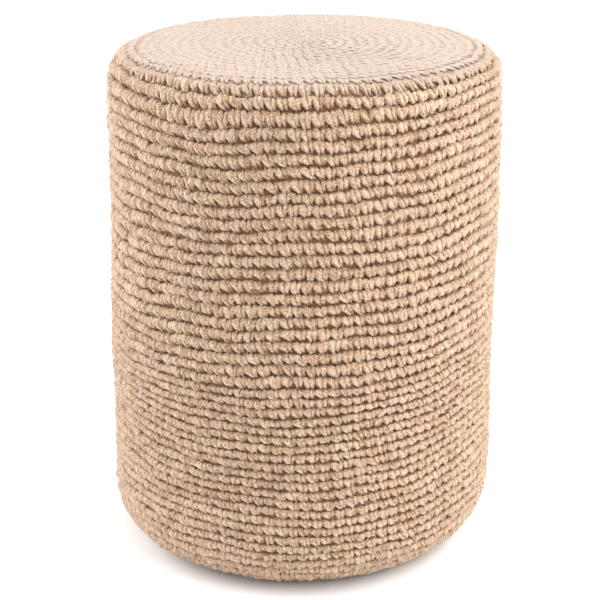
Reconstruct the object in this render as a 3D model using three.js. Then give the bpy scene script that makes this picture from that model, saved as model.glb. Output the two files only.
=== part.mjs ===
// A filled pouf in a crocheted jute cover: one closed cover, worked in rounds from the middle of its top,
// over the edge and down the side. Millimetres, +Z up, the middle of its flat base at the origin.
import * as THREE from "three";

// The filled pouf, measured over the yarn.
const HEIGHT = 450;
const RADIUS = 171.5;
const CROWN = 2; // the middle of the top above its edge
const TOP_EDGE = { reach: 24, drop: 22 }; // the soft bend from the top into the side
const BASE_EDGE = { reach: 52, rise: 54 }; // the rounder bend from the side into the base

// The rounds of crochet, from the middle of the top outwards and down: how many lie side by side, how wide
// each one is along the cover, and how deep the groove between two of them is.
const BANDS = [
  { place: "top", rounds: 17, width: 9.3, groove: 1.6 },
  { place: "top edge", rounds: 3, width: 12.9, groove: 4 },
  { place: "upper side", rounds: 21, width: 10.4, groove: 4 },
  { place: "lower side", rounds: 19, width: 8.35, groove: 3.4 },
  { place: "base edge", rounds: 6, width: 10.6, groove: 3.4 },
];

// How the filling bulges and leans the cover: the radius, and the shift of the middle to the right.
const SECTIONS = [
  { height: 0, radius: 172.5, lean: -3.6 },
  { height: 75, radius: 173, lean: 0 },
  { height: 120, radius: 172.7, lean: -0.4 },
  { height: 170, radius: 172.7, lean: -1.4 },
  { height: 215, radius: 172.7, lean: -0.4 },
  { height: 290, radius: 172.2, lean: 2.3 },
  { height: 360, radius: 171.8, lean: 1.7 },
  { height: 400, radius: 171.8, lean: 0.9 },
  { height: 450, radius: 169.8, lean: 2.4 },
];

// How far the rounds ride up, or sag where negative, at each bearing around the pouf.
const BEARINGS = {
  backLeft: -120,
  left: -60,
  frontLeft: -30,
  front: 0,
  frontRight: 30,
  right: 60,
  backRight: 120,
  back: 180,
};
const SWAYS = [
  { height: 0, backLeft: 0, left: 0, frontLeft: 0, front: 0, frontRight: 0, right: 0, backRight: 0, back: 0 },
  { height: 60, backLeft: 2, left: 5, frontLeft: 4, front: 0, frontRight: 2, right: 10, backRight: 6, back: 2 },
  { height: 110, backLeft: -2, left: 7, frontLeft: 2, front: 0, frontRight: 5, right: 13, backRight: 5, back: 3 },
  { height: 250, backLeft: -6, left: -10, frontLeft: -5, front: 0, frontRight: 0, right: 5, backRight: 6, back: -2 },
  { height: 400, backLeft: 3, left: -1, frontLeft: -6, front: 0, frontRight: 2, right: 7, backRight: 0, back: 4 },
  { height: 450, backLeft: 0, left: 0, frontLeft: 0, front: 0, frontRight: 0, right: 0, backRight: 0, back: 0 },
];

const FACETS = 36; // around each round

const JUTE = { color: "#c8a683", roughness: 0.95, metalness: 0 };

// The outline of one half, from the middle of the top to the edge of the flat base, as distance and height.
function halfOutline() {
  const shoulder = HEIGHT - CROWN;
  const topFlat = RADIUS - TOP_EDGE.reach;
  const baseFlat = RADIUS - BASE_EDGE.reach;
  const path = new THREE.Path();
  path.moveTo(0, HEIGHT);
  path.quadraticCurveTo(topFlat / 2, HEIGHT, topFlat, shoulder);
  path.absellipse(topFlat, shoulder - TOP_EDGE.drop, TOP_EDGE.reach, TOP_EDGE.drop, Math.PI / 2, 0, true);
  path.lineTo(RADIUS, BASE_EDGE.rise);
  path.absellipse(baseFlat, BASE_EDGE.rise, BASE_EDGE.reach, BASE_EDGE.rise, 0, -Math.PI / 2, true);
  return path;
}

const outline = halfOutline();
const outlineLength = outline.getLength();

// One column of a table between the two rows that the height lies between.
function between(table, height, column) {
  const upper = Math.max(1, table.findIndex((row) => row.height >= height));
  const [low, high] = [table[upper - 1], table[upper]];
  const share = THREE.MathUtils.smoothstep(height, low.height, high.height);
  return THREE.MathUtils.lerp(low[column], high[column], share);
}

// How far a round rides up at this height and bearing.
function sway(height, bearing) {
  const places = Object.entries(BEARINGS);
  const next = Math.max(0, places.findIndex(([, degrees]) => degrees >= bearing));
  const [lastName, lastDegrees] = places[(next + places.length - 1) % places.length];
  const [nextName, nextDegrees] = places[next];
  const span = (nextDegrees - lastDegrees + 360) % 360;
  const share = ((bearing - lastDegrees + 360) % 360) / span;
  const eased = THREE.MathUtils.smoothstep(share, 0, 1);
  return THREE.MathUtils.lerp(between(SWAYS, height, lastName), between(SWAYS, height, nextName), eased);
}

// A point of the cover: along is the way down the outline, and depth is how far it lies inside the yarn's reach.
function coverPoint(along, bearing, depth) {
  const level = outline.getPoint(along / outlineLength).y;
  const swayed = THREE.MathUtils.clamp(along - sway(level, bearing), 0, outlineLength) / outlineLength;
  const place = outline.getPoint(swayed);
  const tangent = outline.getTangent(swayed);
  const distance = (place.x + tangent.y * depth) * (between(SECTIONS, place.y, "radius") / RADIUS);
  const angle = THREE.MathUtils.degToRad(bearing);
  return new THREE.Vector3(
    distance * Math.sin(angle) + between(SECTIONS, place.y, "lean"),
    -distance * Math.cos(angle),
    place.y - tangent.x * depth,
  );
}

// The groove and the crest of every round, as the way down the outline and the depth there.
function roundLines() {
  const covered = BANDS.reduce((sum, band) => sum + band.rounds * band.width, 0);
  const stretch = outlineLength / covered;
  const lines = [];
  let along = 0;
  for (const band of BANDS) {
    const width = band.width * stretch;
    for (let round = 0; round < band.rounds; round++) {
      lines.push({ along, depth: band.groove }, { along: along + width / 2, depth: 0 });
      along += width;
    }
  }
  lines.push({ along: outlineLength, depth: 0 });
  return lines;
}

// The closed cover: a point in the middle of the top, a ring for each line, and the flat base.
function coverGeometry() {
  const [centre, ...rings] = roundLines();
  const points = [coverPoint(0, 0, centre.depth)];
  for (const { along, depth } of rings) {
    for (let facet = 0; facet < FACETS; facet++) {
      points.push(coverPoint(along, (facet * 360) / FACETS - 180, depth));
    }
  }
  points.push(new THREE.Vector3(points[points.length - 1].x - points[points.length - FACETS].x, 0, 0));

  const corner = (ring, facet) => 1 + ring * FACETS + (facet % FACETS);
  const lastRing = rings.length - 1;
  const base = points.length - 1;
  const faces = [];
  for (let facet = 0; facet < FACETS; facet++) {
    faces.push(0, corner(0, facet), corner(0, facet + 1));
    for (let ring = 0; ring < lastRing; ring++) {
      const [left, right] = [corner(ring, facet), corner(ring, facet + 1)];
      const [leftBelow, rightBelow] = [corner(ring + 1, facet), corner(ring + 1, facet + 1)];
      faces.push(left, leftBelow, rightBelow, left, rightBelow, right);
    }
    faces.push(base, corner(lastRing, facet + 1), corner(lastRing, facet));
  }

  const geometry = new THREE.BufferGeometry().setFromPoints(points).setIndex(faces);
  geometry.computeBoundingBox();
  const middle = geometry.boundingBox.getCenter(new THREE.Vector3());
  geometry.translate(-middle.x, -middle.y, 0);
  geometry.computeVertexNormals();
  return geometry;
}

const pouf = new THREE.Group();
const cover = new THREE.Mesh(coverGeometry(), new THREE.MeshStandardMaterial(JUTE));
cover.name = "jute_cover";
pouf.add(cover);

export default pouf;
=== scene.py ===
"""A filled pouf in a crocheted jute cover: a soft filled body inside, and on it every stitch of the cover,
worked in rounds from the middle of the top to the middle of the base. Metres, +Z up, the front to -Y."""

import math

import bmesh
import bpy
import numpy as np
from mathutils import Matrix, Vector
from mathutils.bvhtree import BVHTree


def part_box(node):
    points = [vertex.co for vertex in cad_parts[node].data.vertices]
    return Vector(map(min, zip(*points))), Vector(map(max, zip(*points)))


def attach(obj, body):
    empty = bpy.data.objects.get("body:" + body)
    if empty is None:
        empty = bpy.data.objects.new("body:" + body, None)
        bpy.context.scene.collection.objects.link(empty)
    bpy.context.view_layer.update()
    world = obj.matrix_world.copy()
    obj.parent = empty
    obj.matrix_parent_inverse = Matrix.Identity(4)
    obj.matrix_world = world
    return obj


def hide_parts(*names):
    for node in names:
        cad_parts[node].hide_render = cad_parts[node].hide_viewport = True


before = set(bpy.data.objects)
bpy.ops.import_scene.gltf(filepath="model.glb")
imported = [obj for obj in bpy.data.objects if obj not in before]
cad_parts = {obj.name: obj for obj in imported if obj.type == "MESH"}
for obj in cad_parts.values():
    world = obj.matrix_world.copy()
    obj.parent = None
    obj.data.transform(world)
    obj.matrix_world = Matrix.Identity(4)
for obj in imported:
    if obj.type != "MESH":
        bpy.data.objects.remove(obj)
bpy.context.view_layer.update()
lowest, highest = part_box("jute_cover")

MM = 0.001
TURN = 2 * math.pi

# The filled pouf, measured over the yarn.
HEIGHT = highest.z - lowest.z
RADIUS = 171.5 * MM
CROWN = 2 * MM
TOP_EDGE = {"reach": 24 * MM, "drop": 22 * MM}
BASE_EDGE = {"reach": 52 * MM, "rise": 54 * MM}
TOP_FLAT = RADIUS - TOP_EDGE["reach"]
BASE_FLAT = RADIUS - BASE_EDGE["reach"]
OUTLINE_STEPS = 200  # on each straight and each bend of the outline

# The rounds of crochet, from the middle of the top outwards, down and under: how many, and how wide each
# one is along the cover. At the end of each band, the share of the stitch's full relief, and the depth of
# the body under the yarn.
BANDS = [
    {"place": "top", "rounds": 15, "width": 9.3 * MM, "relief": 0.17, "inside": 0.7 * MM},
    {"place": "outer top", "rounds": 2, "width": 9.3 * MM, "relief": 0.36, "inside": 1.6 * MM},
    {"place": "rim", "rounds": 1, "width": 12.9 * MM, "relief": 1.0, "inside": 5.7 * MM},
    {"place": "top edge", "rounds": 2, "width": 12.9 * MM, "relief": 1.0, "inside": 5.7 * MM},
    {"place": "upper side", "rounds": 21, "width": 10.4 * MM, "relief": 1.0, "inside": 5.7 * MM},
    {"place": "lower side", "rounds": 19, "width": 8.35 * MM, "relief": 0.9, "inside": 5.2 * MM},
    {"place": "base edge", "rounds": 6, "width": 10.6 * MM, "relief": 0.9, "inside": 5.2 * MM},
    {"place": "base", "rounds": 13, "width": 9.2 * MM, "relief": 0.5, "inside": 3 * MM},
]

# How the filling bulges and leans the cover: the radius, and the shift of the middle to the right.
SECTIONS = [
    {"height": 0, "radius": 172.5 * MM, "lean": -3.6 * MM},
    {"height": 75 * MM, "radius": 173 * MM, "lean": 0},
    {"height": 120 * MM, "radius": 172.7 * MM, "lean": -0.4 * MM},
    {"height": 170 * MM, "radius": 172.7 * MM, "lean": -1.4 * MM},
    {"height": 215 * MM, "radius": 172.7 * MM, "lean": -0.4 * MM},
    {"height": 290 * MM, "radius": 172.2 * MM, "lean": 2.3 * MM},
    {"height": 360 * MM, "radius": 171.8 * MM, "lean": 1.7 * MM},
    {"height": 400 * MM, "radius": 171.8 * MM, "lean": 0.9 * MM},
    {"height": 450 * MM, "radius": 169.8 * MM, "lean": 2.4 * MM},
]

# How far, in millimetres, the rounds ride up, or sag where negative, at each bearing from the front.
BEARINGS = (-180, -120, -60, -30, 0, 30, 60, 120, 180)
SWAYS = [
    {"height": 0, "rise": (0, 0, 0, 0, 0, 0, 0, 0, 0)},
    {"height": 60 * MM, "rise": (2, 2, 5, 4, 0, 2, 10, 6, 2)},
    {"height": 110 * MM, "rise": (3, -2, 7, 2, 0, 5, 13, 5, 3)},
    {"height": 250 * MM, "rise": (-2, -6, -10, -5, 0, 0, 5, 6, -2)},
    {"height": 400 * MM, "rise": (4, 3, -1, -6, 0, 2, 7, 0, 4)},
    {"height": 450 * MM, "rise": (0, 0, 0, 0, 0, 0, 0, 0, 0)},
]

# The stray of whole rounds, down and sideways: how far, and its waves, each one as turns around the pouf,
# radians for each metre along the cover, and its start. It fades out towards the middle of the top.
DOWN_STRAY = {"reach": 0.45 * MM, "waves": ((5, 61, 0), (-9, 97, 2), (14, -43, 4))}
SIDE_STRAY = {"reach": 0.9 * MM, "waves": ((7, 83, 1), (-4, 119, 3))}
STRAY_FADE = 60 * MM

STITCH = 9.8 * MM  # the width of one stitch
ROW = 10.4 * MM  # the height of the round that the stitch is modelled for
INCREASE = 6  # the stitches that a growing round adds
MOST_INCREASES = 18
SLACK = 0.3  # the share of an increase that a round may be short of before it is made
YARN = 2.3 * MM  # the jute rope's radius

random = np.random.default_rng(31)


# The cover's surface

def outline():
    """Half of the upright section, from the middle of the top to the middle of the base: the way along it,
    and the distance from the axis and the height there."""
    shoulder = HEIGHT - CROWN
    across = np.linspace(0, 1, OUTLINE_STEPS)
    bend = np.linspace(0, math.pi / 2, OUTLINE_STEPS)
    distance = np.concatenate([
        TOP_FLAT * across,
        TOP_FLAT + TOP_EDGE["reach"] * np.sin(bend),
        BASE_FLAT + BASE_EDGE["reach"] * np.cos(bend),
        BASE_FLAT * (1 - across),
    ])
    height = np.concatenate([
        HEIGHT - CROWN * across**2,
        shoulder - TOP_EDGE["drop"] * (1 - np.cos(bend)),
        BASE_EDGE["rise"] * (1 - np.sin(bend)),
        np.zeros_like(across),
    ])
    steps = np.hypot(np.diff(distance), np.diff(height))
    kept = np.concatenate([[True], steps > 1e-9])
    along = np.concatenate([[0], np.cumsum(steps)])
    return along[kept], distance[kept], height[kept]


ALONG, DISTANCE, LEVEL = outline()
OUTLINE_LENGTH = ALONG[-1]
STRETCH = OUTLINE_LENGTH / sum(band["rounds"] * band["width"] for band in BANDS)
BAND_ENDS = np.cumsum([band["rounds"] * band["width"] for band in BANDS]) * STRETCH


def eased(share):
    return share * share * (3 - 2 * share)


def between(xs, ys, x):
    """ys, given at xs, eased from one to the next, at each x."""
    xs, ys = np.asarray(xs, float), np.asarray(ys, float)
    after = np.clip(np.searchsorted(xs, x), 1, len(xs) - 1)
    share = np.clip((x - xs[after - 1]) / (xs[after] - xs[after - 1]), 0, 1)
    return ys[after - 1] + (ys[after] - ys[after - 1]) * eased(share)


def band_value(column, along):
    """A column of the bands, eased from the end of one band to the end of the next."""
    return between([0, *BAND_ENDS], [BANDS[0][column], *(band[column] for band in BANDS)], along)


def sway(height, bearing):
    """How far the rounds ride up at this height and bearing, in degrees from the front."""
    wrapped = (bearing + 180) % 360 - 180
    heights = [row["height"] for row in SWAYS]
    rises = np.array([between(BEARINGS, row["rise"], wrapped) for row in SWAYS]) * MM
    after = np.clip(np.searchsorted(heights, height), 1, len(heights) - 1)
    low, high = np.array(heights)[after - 1], np.array(heights)[after]
    share = eased(np.clip((height - low) / (high - low), 0, 1))
    each = np.arange(len(height))
    return rises[after - 1, each] * (1 - share) + rises[after, each] * share


def wobble(along, bearing):
    """How far a round strays down and sideways, as each hand-made one is a little looser or tighter."""
    turn = np.radians(bearing)
    fade = np.clip(along / STRAY_FADE, 0, 1)

    def stray(kind):
        waves = sum(np.sin(turns * turn + along * rate + start) for turns, rate, start in kind["waves"])
        return kind["reach"] * waves * fade

    return stray(DOWN_STRAY), stray(SIDE_STRAY)


END_GAP = 0.3 * MM  # how near the surface comes to the middle of the top and of the base
SLOPE_REACH = 2 * MM  # the slope is taken between two places this far up and down the cover


def cover_surface(along, bearing):
    """Points on the outside of the cover and the directions out of it, for each way along and bearing."""
    swayed = along - sway(np.interp(along, ALONG, LEVEL), bearing)
    swayed = np.clip(swayed, END_GAP, OUTLINE_LENGTH - END_GAP)
    distance = np.interp(swayed, ALONG, DISTANCE)
    height = np.interp(swayed, ALONG, LEVEL)
    above, below = swayed - SLOPE_REACH, swayed + SLOPE_REACH
    run = np.interp(below, ALONG, DISTANCE) - np.interp(above, ALONG, DISTANCE)
    fall = np.interp(above, ALONG, LEVEL) - np.interp(below, ALONG, LEVEL)
    slope = np.hypot(run, fall)
    radii = [row["radius"] for row in SECTIONS]
    heights = [row["height"] for row in SECTIONS]
    leans = [row["lean"] for row in SECTIONS]
    distance = distance * between(heights, radii, height) / RADIUS
    angle = np.radians(bearing)
    points = np.stack([
        distance * np.sin(angle) + between(heights, leans, height),
        -distance * np.cos(angle),
        height,
    ], axis=1)
    outwards = np.stack([
        fall / slope * np.sin(angle),
        -fall / slope * np.cos(angle),
        run / slope,
    ], axis=1)
    return points, outwards


# Modelling by hand

def select_only(piece):
    bpy.ops.object.select_all(action="DESELECT")
    piece.select_set(True)
    bpy.context.view_layer.objects.active = piece


def start_edit(piece):
    select_only(piece)
    bpy.ops.object.mode_set(mode="EDIT")


def end_edit():
    bpy.ops.object.mode_set(mode="OBJECT")


def select_points(piece, chosen):
    """Selects only the vertices that chosen(vertex) picks, in edit mode."""
    bpy.ops.mesh.select_all(action="DESELECT")
    shape = bmesh.from_edit_mesh(piece.data)
    for vertex in shape.verts:
        vertex.select = chosen(vertex)
    shape.select_flush_mode()
    bmesh.update_edit_mesh(piece.data)


def apply_modifiers(piece):
    select_only(piece)
    for modifier in list(piece.modifiers):
        bpy.ops.object.modifier_apply(modifier=modifier.name)


def copy_of(piece, name):
    twin = piece.copy()
    twin.data = piece.data.copy()
    twin.name = twin.data.name = name
    bpy.context.collection.objects.link(twin)
    return twin


def make_bar(sides, radius, steps):
    """A straight upright bar, one metre long for each step and cut across at each of them."""
    bpy.ops.object.select_all(action="DESELECT")
    bpy.ops.mesh.primitive_cylinder_add(
        vertices=sides, radius=radius, depth=steps, location=(0, 0, steps / 2), end_fill_type="NGON"
    )
    bar = bpy.context.object
    bpy.ops.object.transform_apply(location=True, rotation=True, scale=True)
    start_edit(bar)
    for step in range(1, steps):
        bpy.ops.mesh.select_all(action="SELECT")
        bpy.ops.mesh.bisect(plane_co=(0, 0, step), plane_no=(0, 0, 1))
    end_edit()
    return bar


def joined(pieces, name):
    bpy.ops.object.select_all(action="DESELECT")
    for piece in pieces:
        piece.select_set(True)
    bpy.context.view_layer.objects.active = pieces[0]
    bpy.ops.object.join()
    pieces[0].name = pieces[0].data.name = name
    return pieces[0]


def points_of(piece):
    points = np.empty(len(piece.data.vertices) * 3)
    piece.data.vertices.foreach_get("co", points)
    return points.reshape(-1, 3)


def move_points(piece, points):
    piece.data.vertices.foreach_set("co", points.ravel())
    piece.data.update()


def give_values(piece, name, values):
    """Stores one number for each vertex, for the material to read."""
    attribute = piece.data.attributes.new(name, "FLOAT", "POINT")
    attribute.data.foreach_set("value", values.astype(np.float32))


# The filled body inside the stitches

BLOCK_INSET = 6 * MM
BODY_SIDES = 72
BEVEL_STEPS = 8
MESH_SIZE = 6 * MM
LUMP = 0.25 * MM
LUMP_WAVES = (
    {"rates": (31, 17, 22), "start": 0.4},
    {"rates": (-19, 37, 13), "start": 2.1},
    {"rates": (11, -23, 41), "start": 4.4},
    {"rates": (-43, -9, 29), "start": 5.2},
)
PUFF = {"pressure": 4, "frames": 20, "most": 3 * MM}  # the most that the filling may push any point
HELD = {"base": 2 * MM, "top": 6 * MM}  # how near the level of its flat ends the body is held
SMOOTHINGS = 4


def lumps(points):
    """Soft dents and lumps of the filling, about a millimetre deep."""
    waves = (np.sin(points @ np.array(wave["rates"], float) + wave["start"]) for wave in LUMP_WAVES)
    return LUMP * sum(waves)


def make_body():
    """A round block, bevelled to the soft edges and fitted close under the stitches, with the lumps."""
    bpy.ops.object.select_all(action="DESELECT")
    bpy.ops.mesh.primitive_cylinder_add(
        vertices=BODY_SIDES,
        radius=RADIUS - BLOCK_INSET,
        depth=HEIGHT - 2 * BLOCK_INSET,
        location=(0, 0, HEIGHT / 2),
    )
    body = bpy.context.object
    body.name = body.data.name = "filled_body"
    bpy.ops.object.transform_apply(location=True, rotation=True, scale=True)
    start_edit(body)
    for end, width in ((1, TOP_EDGE["reach"]), (-1, BASE_EDGE["reach"])):
        rim = HEIGHT / 2 + end * (HEIGHT / 2 - BLOCK_INSET)
        select_points(body, lambda vertex, rim=rim: abs(vertex.co.z - rim) < MM)
        reach = width - BLOCK_INSET / 2
        bpy.ops.mesh.bevel(offset=reach, segments=BEVEL_STEPS, profile=0.5, affect="EDGES")
    end_edit()
    body.modifiers.new("even mesh", "REMESH").voxel_size = MESH_SIZE
    apply_modifiers(body)
    points = points_of(body)
    rise = np.arctan2(points[:, 2] - HEIGHT / 2, np.hypot(points[:, 0], points[:, 1]))
    along = np.interp(-rise, -np.arctan2(LEVEL - HEIGHT / 2, DISTANCE), ALONG)
    bearing = np.degrees(np.arctan2(points[:, 0], -points[:, 1]))
    surface, outwards = cover_surface(along, bearing)
    points = surface + outwards * (lumps(points) - band_value("inside", along))[:, None]
    move_points(body, points)
    return body


def puff(body):
    """Lets the filling press the side out, with the flat ends held, and keeps each point near its place."""
    before = points_of(body)
    held = body.vertex_groups.new(name="flat_ends")
    near_base = before[:, 2] < BANDS[-1]["inside"] + HELD["base"]
    near_top = before[:, 2] > HEIGHT - CROWN - HELD["top"]
    held.add([int(i) for i in np.flatnonzero(near_base | near_top)], 1.0, "REPLACE")
    cloth = body.modifiers.new("cloth", "CLOTH")
    cloth.settings.use_pressure = True
    cloth.settings.uniform_pressure_force = PUFF["pressure"]
    cloth.settings.effector_weights.gravity = 0
    cloth.settings.vertex_group_mass = held.name
    cloth.point_cache.frame_start = 1
    cloth.point_cache.frame_end = PUFF["frames"]
    for step in range(1, PUFF["frames"] + 1):
        bpy.context.scene.frame_set(step)
    apply_modifiers(body)
    bpy.context.scene.frame_set(1)
    moved = points_of(body) - before
    far = np.linalg.norm(moved, axis=1)[:, None]
    move_points(body, before + moved * np.minimum(1, PUFF["most"] / np.maximum(far, 1e-9)))


def smooth_body(body):
    body.vertex_groups.clear()
    smooth = body.modifiers.new("smooth", "SMOOTH")
    smooth.iterations = SMOOTHINGS
    apply_modifiers(body)
    bpy.ops.object.shade_smooth()


GRID_ALONG = 90
GRID_ROUND = 72
PROBE_START = 20 * MM  # how far outside the cover each probe of the body starts


def unevenness(body):
    """How far the body bulges beyond its mean at each way along, on a grid of ways along and bearings."""
    tree = BVHTree.FromObject(body, bpy.context.evaluated_depsgraph_get())
    along = np.linspace(0, OUTLINE_LENGTH, GRID_ALONG)
    bearing = np.linspace(-180, 180, GRID_ROUND + 1)
    points, outwards = cover_surface(np.repeat(along, len(bearing)), np.tile(bearing, len(along)))
    depths = np.repeat(band_value("inside", along), len(bearing))
    for i, (point, out) in enumerate(zip(points, outwards)):
        _, _, _, far = tree.ray_cast(Vector(point + out * PROBE_START), Vector(-out))
        if far:
            depths[i] = far - PROBE_START
    depths = depths.reshape(len(along), len(bearing))
    return depths.mean(axis=1, keepdims=True) - depths


def lift(grid, along, bearing):
    """The grid's value at each way along and bearing, blended between the four nearest places."""
    row = np.clip(along / OUTLINE_LENGTH, 0, 1) * (GRID_ALONG - 1)
    column = ((bearing + 180) % 360) / 360 * GRID_ROUND
    above = np.minimum(row.astype(int), GRID_ALONG - 2)
    left = np.minimum(column.astype(int), GRID_ROUND - 1)
    down, right = row - above, column - left
    upper = grid[above, left] * (1 - right) + grid[above, left + 1] * right
    lower = grid[above + 1, left] * (1 - right) + grid[above + 1, left + 1] * right
    return upper * (1 - down) + lower * down


# One stitch, seen from the front: x to the right, z up and -y out of the cover, around the middle of its
# round. The places are in millimetres, and the thickness is a share of the yarn's.

SIDES = 5
FLATTENED = 1.15  # how much wider the worked yarn is than deep
LEFT_LEG = (
    {"place": (-3.3, 4.0, 4.7), "thickness": 1.05},
    {"place": (-3.6, 0.5, 3.5), "thickness": 1.28},
    {"place": (-3.7, -0.6, 1.6), "thickness": 1.12},
    {"place": (-3.3, 0.0, -0.6), "thickness": 0.75},
    {"place": (-2.6, 1.4, -2.6), "thickness": 0.54},
    {"place": (-1.8, 3.4, -4.4), "thickness": 0.43},
)
RIGHT_LEG = (
    {"place": (0.6, 4.0, 4.9), "thickness": 1.12},
    {"place": (1.0, 0.3, 3.7), "thickness": 1.38},
    {"place": (1.7, -1.0, 1.8), "thickness": 1.25},
    {"place": (2.9, -0.8, -0.4), "thickness": 0.9},
    {"place": (4.1, 0.6, -2.6), "thickness": 0.66},
    {"place": (5.1, 2.8, -4.5), "thickness": 0.48},
)


def make_strand(leg):
    """One leg's yarn: a straight bar, each of whose rings is sized, turned and moved into place."""
    places = [Vector(ring["place"]) * MM for ring in leg]
    last = len(places) - 1
    strand = make_bar(SIDES, YARN, last)
    wind_uv(strand, last)
    start_edit(strand)
    shape = bmesh.from_edit_mesh(strand.data)
    rings = [{v.index for v in shape.verts if abs(v.co.z - ring) < 0.01} for ring in range(last + 1)]
    for ring, place in enumerate(places):
        size = leg[ring]["thickness"]
        select_points(strand, lambda vertex, ring=ring: vertex.index in rings[ring])
        here = Vector((0, 0, ring))
        heading = (places[min(ring + 1, last)] - places[max(ring - 1, 0)]).normalized()
        bpy.ops.transform.resize(value=(size * FLATTENED, size, 1), center_override=here)
        bpy.ops.transform.rotate(value=math.asin(heading.y), orient_axis="X", center_override=here)
        bpy.ops.transform.rotate(
            value=-math.atan2(heading.x, heading.z), orient_axis="Y", center_override=here
        )
        bpy.ops.transform.translate(value=place - here)
    bpy.ops.mesh.select_all(action="SELECT")
    bpy.ops.mesh.normals_make_consistent(inside=False)
    end_edit()
    return strand


def wind_uv(strand, length):
    """Lays the yarn's own map on a straight bar: once around it across, and along it in ring steps."""
    mesh = strand.data
    chart = mesh.uv_layers.active or mesh.uv_layers.new(name="yarn")
    chart.name = "yarn"
    for face in mesh.polygons:
        middle = math.atan2(face.center.y, face.center.x) / TURN
        for corner in face.loop_indices:
            point = mesh.vertices[mesh.loops[corner].vertex_index].co
            around = math.atan2(point.y, point.x) / TURN
            around += round(middle - around)
            chart.data[corner].uv = (around, point.z / length)


def make_stitch():
    stitch = joined([make_strand(LEFT_LEG), make_strand(RIGHT_LEG)], "stitch")
    bpy.ops.object.shade_smooth()
    return stitch


# The rounds

def all_rounds():
    """Every round: its middle and its width along the cover, its relief and its number of stitches."""
    rounds = []
    start = 0
    for band in BANDS:
        for _ in range(band["rounds"]):
            width = band["width"] * STRETCH
            middle = start + width / 2
            girth = TURN * np.interp(middle, ALONG, DISTANCE)
            increases = math.ceil(girth / (INCREASE * STITCH) - SLACK)
            rounds.append({
                "middle": middle,
                "width": width,
                "relief": band_value("relief", middle),
                "stitches": INCREASE * max(1, min(MOST_INCREASES, increases)),
            })
            start += width
    return rounds


YARN_TOP = 0.8 * MM + 1.25 * YARN  # how far the modelled stitch stands out of its own middle
SHARED = 0.3  # how far a side's stray carries on past it, as a share of the stitch's width
# Painted shade: yarn this deep under the top of its stitch is painted darkest, flatter rounds as if at the
# least relief.
RECESS_SHADE = {"depth": 5 * MM, "least_relief": 0.7}  # where the yarn counts as tucked in, also in flatter rounds

# How far each stitch strays, as the spread of its draws: the whole stitch, its foot, and single points.
STRAY = {
    "sideways": 0.9 * MM,
    "foot": 1.1 * MM,
    "tallness": 0.08,
    "up": 0.5 * MM,
    "thickness": 0.12,
    "out": 0.5 * MM,
    "point": 0.4 * MM,
}


def lay_round(stitch, number, row, shift, bulges):
    """One round: the stitch repeated in a straight row, which is made uneven and bent around the cover."""
    count = row["stitches"]
    worked = copy_of(stitch, f"round_{number}")
    repeat = worked.modifiers.new("row", "ARRAY")
    repeat.count = count
    repeat.use_relative_offset = False
    repeat.use_constant_offset = True
    repeat.constant_offset_displace = (STITCH, 0, 0)
    apply_modifiers(worked)

    points = points_of(worked)
    each = np.repeat(np.arange(count), len(stitch.data.vertices))
    right = points[:, 0] - each * STITCH
    up = points[:, 2]
    out = -points[:, 1]
    across = np.clip(right / STITCH + 0.5, -SHARED, 1 + SHARED)
    foot = np.clip(0.5 - up / ROW, 0, 1)  # 0 where the stitch comes out of the round before, 1 at its foot

    def uneven(kind):
        """A stray of each stitch's two sides, which it shares with its neighbours."""
        sides = random.normal(0, STRAY[kind], count)
        return sides[each] * (1 - across) + sides[(each + 1) % count] * across

    def rough():
        return random.normal(0, STRAY["point"], len(points))

    sideways = uneven("sideways") + foot * uneven("foot") + rough()
    up = up * (1 + uneven("tallness")) + uneven("up") + rough()
    out = (out - YARN_TOP + rough()) * (1 + uneven("thickness")) + uneven("out")
    right = right + sideways

    along = row["middle"] - up * row["width"] / ROW
    bearing = (each + 0.5 + shift + right / STITCH) * 360 / count - 180
    down, aside = wobble(along, bearing)
    along = along + down
    bearing = bearing + np.degrees(aside / RADIUS)
    surface, outwards = cover_surface(along, bearing)
    above_base = np.clip(surface[:, 2] / BASE_EDGE["rise"], 0, 1)
    lifted = lift(bulges, along, bearing) * above_base
    points = surface + outwards * (out * row["relief"] + lifted)[:, None]
    points[:, 2] = np.maximum(points[:, 2], 0)
    move_points(worked, points)
    give_values(worked, "tone", random.normal(0, 1, count)[each])
    # Painted shade: how deep each point lies under the top of its stitch, for the material to darken it.
    depth = -out * max(row["relief"], RECESS_SHADE["least_relief"])
    give_values(worked, "recess_shade_depth", np.clip(depth / RECESS_SHADE["depth"], 0, 1))
    return worked


# Loose fibres that stand out of the yarn

FIBRES = 6400
TOP_SHARE = 0.18  # of the fibres
AXIS_GAP = 2 * MM  # how near the fibres come to the middle of the top
WIDEST_TURN = 20 * MM  # nearer to the axis than this, a fibre turns around it no further
FIBRE = {
    "sides": 3,
    "steps": 3,
    "radius": 0.13 * MM,
    "shortest": 4 * MM,
    "longest": 12 * MM,
    "bend": 3 * MM,
    "root": -1.6 * MM,  # out of the cover, as are the rise from there to the tip and its stray
    "rise": 1.2 * MM,
    "stray": 2.4 * MM,
}


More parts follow.
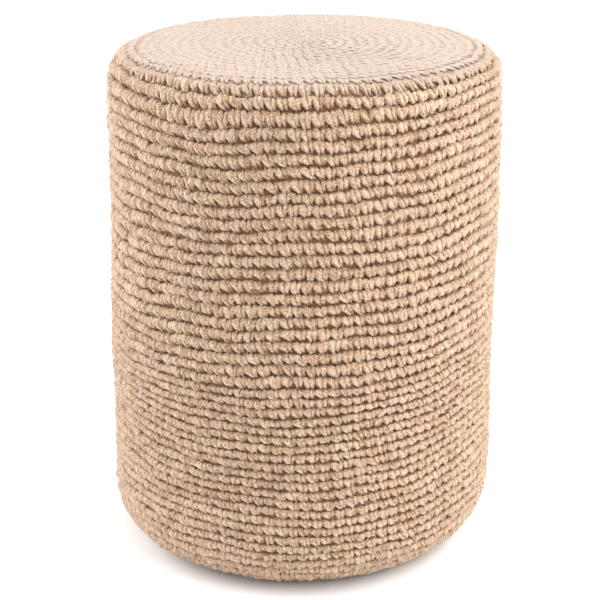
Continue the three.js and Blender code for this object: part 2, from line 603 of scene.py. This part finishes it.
def make_fibres():
    """One thin fibre, repeated, and each one laid over the cover at its own place and slant."""
    fibre = make_bar(FIBRE["sides"], FIBRE["radius"], FIBRE["steps"])
    size = len(fibre.data.vertices)
    repeat = fibre.modifiers.new("many", "ARRAY")
    repeat.count = FIBRES
    repeat.use_relative_offset = False
    apply_modifiers(fibre)
    bpy.ops.object.shade_smooth()

    points = points_of(fibre)
    each = np.repeat(np.arange(FIBRES), size)

    def drawn(low, high):
        return random.uniform(low, high, FIBRES)[each]

    share = points[:, 2] / FIBRE["steps"]
    on_top = np.sqrt(random.uniform(0, 1, FIBRES)) * TOP_FLAT
    is_on_top = random.uniform(0, 1, FIBRES) < TOP_SHARE
    on_side = random.uniform(TOP_FLAT, OUTLINE_LENGTH - BASE_FLAT, FIBRES)
    root = np.where(is_on_top, on_top, on_side)[each]
    slant = drawn(0, TURN)
    reach = (share - 0.5) * drawn(FIBRE["shortest"], FIBRE["longest"])
    bend = np.sin(math.pi * share) * drawn(-1, 1) * FIBRE["bend"]
    along = root + reach * np.cos(slant) - bend * np.sin(slant) + points[:, 0]
    around = reach * np.sin(slant) + bend * np.cos(slant) + points[:, 1]
    out = FIBRE["root"] + share * (FIBRE["rise"] + drawn(0, 1) ** 3 * FIBRE["stray"]) + points[:, 1]
    along = np.maximum(along, AXIS_GAP)
    distance = np.maximum(np.interp(along, ALONG, DISTANCE), WIDEST_TURN)
    surface, outwards = cover_surface(along, drawn(-180, 180) + np.degrees(around / distance))
    points = surface + outwards * out[:, None]
    points[:, 2] = np.maximum(points[:, 2], 0)
    move_points(fibre, points)
    fibre.name = fibre.data.name = "loose_fibres"
    return fibre


# Materials

def material(name):
    made = bpy.data.materials.new(name)
    made.use_nodes = True
    shader = made.node_tree.nodes["Principled BSDF"]
    return made, made.node_tree.nodes, made.node_tree.links, shader


def node(nodes, kind, settings=None, **sockets):
    """A node with its settings and the values of its sockets, whose names are given with _ for a space."""
    made = nodes.new(kind)
    for key, value in (settings or {}).items():
        setattr(made, key, value)
    for key, value in sockets.items():
        made.inputs[key.replace("_", " ")].default_value = value
    return made


def maths(nodes, links, operation, first, second=None):
    made = nodes.new("ShaderNodeMath")
    made.operation = operation
    for socket, value in zip(made.inputs, (first, second)):
        if isinstance(value, (int, float)):
            socket.default_value = value
        elif value is not None:
            links.new(value, socket)
    return made.outputs[0]


def noise(nodes, links, place, scale, detail, roughness=0.5):
    made = node(nodes, "ShaderNodeTexNoise", Scale=scale, Detail=detail, Roughness=roughness)
    links.new(place, made.inputs["Vector"])
    return made.outputs["Fac"]


def ramp(nodes, links, value, start, end, most=1.0):
    """0 up to where the value is start, and from there up to most where it is end."""
    made = node(nodes, "ShaderNodeMapRange", From_Min=start, From_Max=end, To_Max=most)
    links.new(value, made.inputs["Value"])
    return made.outputs["Result"]


def level_of(nodes, links, place):
    parts = node(nodes, "ShaderNodeSeparateXYZ")
    links.new(place, parts.inputs["Vector"])
    return parts.outputs["Z"]


def colour_mix(nodes, links, share, first, second):
    made = nodes.new("ShaderNodeMix")
    made.data_type = "RGBA"
    for socket, value in ((made.inputs[0], share), (made.inputs[6], first), (made.inputs[7], second)):
        if isinstance(value, (int, float, tuple)):
            socket.default_value = value
        else:
            links.new(value, socket)
    return made.outputs[2]


PLIES = 4
TWIST = 0.6  # plies passed in one ring step along the yarn

# Painted highlight: the colour that the brightest yarn turns to.
HIGHLIGHT_JUTE = (0.73, 0.58, 0.46, 1)
# Colours of the top, partly wear and partly painted light: darker to offset the top's stronger light,
# duller for a painted sheen.
WEAR_AND_SHEEN_JUTE = (0.405, 0.325, 0.277, 1)
WEAR_AND_SHEEN_TOP = (0.475, 0.385, 0.33, 1)
PINK_JUTE = (0.69, 0.455, 0.315, 1)
YELLOW_JUTE = (0.68, 0.475, 0.29, 1)
SHADED_JUTE = (0.33, 0.165, 0.078, 1)
RED_JUTE = (0.52, 0.27, 0.16, 1)
# The colour of painted shade, deep in the stitches and inside the cover.
RECESS_SHADE_JUTE = (0.28, 0.125, 0.05, 1)
# Painted shade: the inside of the cover, seen between the stitches.
INSIDE_SHADE_JUTE = (0.19, 0.09, 0.038, 1)
LOOSE_PALE_JUTE = (0.85, 0.66, 0.48, 1)
LOOSE_BROWN_JUTE = (0.62, 0.43, 0.27, 1)

# How much each pattern adds to the yarn's brightness (painted light and shade on the plies and fibres and
# in their creases and gaps, and each stitch's own tone), and to its relief beside that of the fibres.
BRIGHTENS = {"all": 0.6, "tone": 0.07, "ply": 0.35, "fibres": 2.4, "tufts": 5.2}
RAISES = {"ply": 0.7, "tufts": 1.6}
WORN_FLAT = 0.7  # the share of the yarn's relief that wear takes off


def jute_yarn(name, wear_and_sheen_colour, sheen):
    """Twisted jute: plies and fibres along the yarn's own map, patches of other bales, and painted shade
    deep inside.
    """
    made, nodes, links, shader = material(name)
    place = node(nodes, "ShaderNodeTexCoord").outputs["Object"]
    chart = node(nodes, "ShaderNodeUVMap", {"uv_map": "yarn"}).outputs["UV"]
    tone = node(nodes, "ShaderNodeAttribute", {"attribute_name": "tone"}).outputs["Fac"]
    recess_shade_depth = node(nodes, "ShaderNodeAttribute", {"attribute_name": "recess_shade_depth"}).outputs["Fac"]

    def sum_of(first, second):
        return maths(nodes, links, "ADD", first, second)

    def times(first, second):
        return maths(nodes, links, "MULTIPLY", first, second)

    def about_zero(pattern, amount):
        return times(maths(nodes, links, "SUBTRACT", pattern, 0.5), amount)

    bales = noise(nodes, links, place, scale=22, detail=3, roughness=0.6)
    yellow = ramp(nodes, links, bales, 0.38, 0.64)
    colour = colour_mix(nodes, links, yellow, PINK_JUTE, YELLOW_JUTE)

    spots = noise(nodes, links, place, scale=48, detail=1)
    flecks = ramp(nodes, links, spots, 0.72, 0.8, most=0.6)
    colour = colour_mix(nodes, links, flecks, colour, RED_JUTE)

    parts = node(nodes, "ShaderNodeSeparateXYZ")
    links.new(chart, parts.inputs["Vector"])
    turned = sum_of(times(parts.outputs["X"], PLIES), times(parts.outputs["Y"], TWIST))
    ply = maths(nodes, links, "ABSOLUTE", maths(nodes, links, "SINE", times(turned, math.pi)))

    wound = node(nodes, "ShaderNodeCombineXYZ")
    links.new(times(turned, 1.3), wound.inputs["X"])
    links.new(times(parts.outputs["Y"], 0.4), wound.inputs["Y"])
    links.new(times(tone, 7.3), wound.inputs["Z"])
    fibres = noise(nodes, links, wound.outputs["Vector"], scale=1.8, detail=4, roughness=0.75)
    tufts = noise(nodes, links, place, scale=640, detail=3, roughness=0.65)

    # Painted light and shade: bright on the plies and fibres, dark in their creases and gaps, where the
    # yarn turns to shaded jute.
    light = sum_of(sum_of(BRIGHTENS["all"], times(tone, BRIGHTENS["tone"])), times(ply, BRIGHTENS["ply"]))
    strands = sum_of(about_zero(fibres, BRIGHTENS["fibres"]), about_zero(tufts, BRIGHTENS["tufts"]))
    light = sum_of(light, strands)
    colour = colour_mix(nodes, links, light, SHADED_JUTE, colour)
    # Painted highlight: where the painted light is brightest, the yarn turns paler.
    painted_highlight = ramp(nodes, links, light, 0.8, 1.4, most=0.8)
    colour = colour_mix(nodes, links, painted_highlight, colour, HIGHLIGHT_JUTE)
    # Wear and painted sheen: near the top, the top's colour, darker for its stronger light and duller for
    # its sheen.
    wear_and_sheen = ramp(nodes, links, level_of(nodes, links, place), HEIGHT - 12 * MM, HEIGHT - 2 * MM, most=0.85)
    colour = colour_mix(nodes, links, wear_and_sheen, colour, wear_and_sheen_colour)
    # Painted shade: yarn lying deep under the top of its stitch is darkened.
    painted_recess_shade = ramp(nodes, links, recess_shade_depth, 0.42, 1.05, most=0.95)
    colour = colour_mix(nodes, links, painted_recess_shade, colour, RECESS_SHADE_JUTE)
    links.new(colour, shader.inputs["Base Color"])

    height = sum_of(times(ply, RAISES["ply"]), sum_of(fibres, times(tufts, RAISES["tufts"])))
    height = times(height, maths(nodes, links, "SUBTRACT", 1.0, times(wear_and_sheen, WORN_FLAT)))
    bump = node(nodes, "ShaderNodeBump", Strength=1.0, Distance=1.2 * MM)
    links.new(height, bump.inputs["Height"])
    links.new(bump.outputs["Normal"], shader.inputs["Normal"])
    shader.inputs["Roughness"].default_value = 0.5
    shader.inputs["Sheen Weight"].default_value = sheen
    shader.inputs["Sheen Roughness"].default_value = 0.3
    shader.inputs["Sheen Tint"].default_value = (1, 0.79, 0.6, 1)
    return made


def loose_jute():
    """Single pale fibres, each stretch a little lighter or darker."""
    made, nodes, links, shader = material("loose_jute")
    place = node(nodes, "ShaderNodeTexCoord").outputs["Object"]
    bales = noise(nodes, links, place, scale=70, detail=2)
    colour = colour_mix(nodes, links, bales, LOOSE_PALE_JUTE, LOOSE_BROWN_JUTE)
    links.new(colour, shader.inputs["Base Color"])
    shader.inputs["Roughness"].default_value = 0.5
    shader.inputs["Sheen Weight"].default_value = 0.5
    return made


def shaded_inside_jute():
    """The inside of the cover, between the stitches: painted dark brown for the shade that falls in there.
    """
    made, nodes, links, shader = material("shaded_inside_jute")
    place = node(nodes, "ShaderNodeTexCoord").outputs["Object"]
    strands = noise(nodes, links, place, scale=260, detail=3, roughness=0.65)
    # Painted shade over all of the inside, mottled between two dark browns.
    colour = colour_mix(nodes, links, strands, INSIDE_SHADE_JUTE, RECESS_SHADE_JUTE)
    # Wear and painted sheen: near the top the inside takes the top's colour too.
    wear_and_sheen = ramp(nodes, links, level_of(nodes, links, place), HEIGHT - 20 * MM, HEIGHT - 5 * MM, most=0.8)
    colour = colour_mix(nodes, links, wear_and_sheen, colour, WEAR_AND_SHEEN_JUTE)
    links.new(colour, shader.inputs["Base Color"])
    bump = node(nodes, "ShaderNodeBump", Strength=0.7, Distance=1 * MM)
    links.new(strands, bump.inputs["Height"])
    links.new(bump.outputs["Normal"], shader.inputs["Normal"])
    shader.inputs["Roughness"].default_value = 0.95
    shader.inputs["Sheen Weight"].default_value = 0.2
    return made


def pale_floor():
    made, nodes, links, shader = material("pale_floor")
    place = node(nodes, "ShaderNodeTexCoord").outputs["Object"]
    mottle = noise(nodes, links, place, scale=1.5, detail=2)
    colour = colour_mix(nodes, links, mottle, (0.86, 0.86, 0.86, 1), (0.9, 0.9, 0.9, 1))
    links.new(colour, shader.inputs["Base Color"])
    shader.inputs["Roughness"].default_value = 0.9
    return made


def finish_piece(piece, finish):
    piece.data.materials.clear()
    piece.data.materials.append(finish)
    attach(piece, "root")


# The pouf

COVER_PIECES = [
    {"name": "crochet_top", "rounds": 17},
    {"name": "crochet_upper_side", "rounds": 14},
    {"name": "crochet_middle", "rounds": 15},
    {"name": "crochet_lower_side", "rounds": 14},
    {"name": "crochet_base", "rounds": 19},
]
ROUND_SHIFT = {"mean": 0.05, "spread": 0.08}  # from each round to the next, as a share of a stitch


def make_cover(bulges, top_finish, side_finish):
    stitch = make_stitch()
    rounds = all_rounds()
    shifts = np.cumsum(random.normal(ROUND_SHIFT["mean"], ROUND_SHIFT["spread"], len(rounds)))
    number = 0
    pieces = []
    for piece in COVER_PIECES:
        worked = []
        for _ in range(piece["rounds"]):
            worked.append(lay_round(stitch, number, rounds[number], shifts[number], bulges))
            number += 1
        cover = joined(worked, piece["name"])
        finish_piece(cover, side_finish if pieces else top_finish)
        pieces.append(cover)
    bpy.data.objects.remove(stitch)
    return pieces


body = make_body()
puff(body)
smooth_body(body)
bulges = unevenness(body)
finish_piece(body, shaded_inside_jute())
# The top's yarn has little real sheen: its paler colour carries a painted sheen in its place.
top_yarn = jute_yarn("wear_and_sheen_jute_yarn", WEAR_AND_SHEEN_TOP, sheen=0.2)
side_yarn = jute_yarn("jute_yarn", WEAR_AND_SHEEN_JUTE, sheen=0.7)
cover = make_cover(bulges, top_yarn, side_yarn)
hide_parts("jute_cover")
finish_piece(make_fibres(), loose_jute())


# The studio

CAMERA_PLACE = (-2.4 * MM, -1493 * MM, 730 * MM)
CAMERA_TILT = math.radians(90 - 19.06)
LENS = 104.6


def make_studio():
    bpy.ops.object.select_all(action="DESELECT")
    bpy.ops.mesh.primitive_plane_add(size=12, location=(0, 0, 0))
    floor = bpy.context.object
    floor.name = "floor"
    floor.data.materials.append(pale_floor())

    world = bpy.data.worlds.new("studio")
    world.use_nodes = True
    world.node_tree.nodes["Background"].inputs["Color"].default_value = (1, 1, 1, 1)
    world.node_tree.nodes["Background"].inputs["Strength"].default_value = 1.0
    bpy.context.scene.world = world
    lamps = (
        {"name": "top_light", "place": (0.2, -0.3, 2.4), "size": 1.6, "power": 5},
        {"name": "left_light", "place": (-2.0, 0.5, 1.0), "size": 1.8, "power": 60},
        {"name": "right_light", "place": (2.0, 0.1, 1.7), "size": 2.0, "power": 42},
        {"name": "front_light", "place": (1.6, -1.1, 1.7), "size": 2.0, "power": 38},
    )
    for lamp in lamps:
        towards = Vector((0, 0, HEIGHT / 2)) - Vector(lamp["place"])
        bpy.ops.object.light_add(
            type="AREA", location=lamp["place"], rotation=towards.to_track_quat("-Z", "Y").to_euler()
        )
        light = bpy.context.object
        light.name = lamp["name"]
        light.data.size = lamp["size"]
        light.data.energy = lamp["power"]

    bpy.ops.object.camera_add(location=CAMERA_PLACE, rotation=(CAMERA_TILT, 0, 0))
    camera = bpy.context.object
    camera.data.lens = LENS
    camera.data.sensor_width = 36
    bpy.context.scene.camera = camera
    bpy.context.scene.view_settings.view_transform = "Standard"


make_studio()
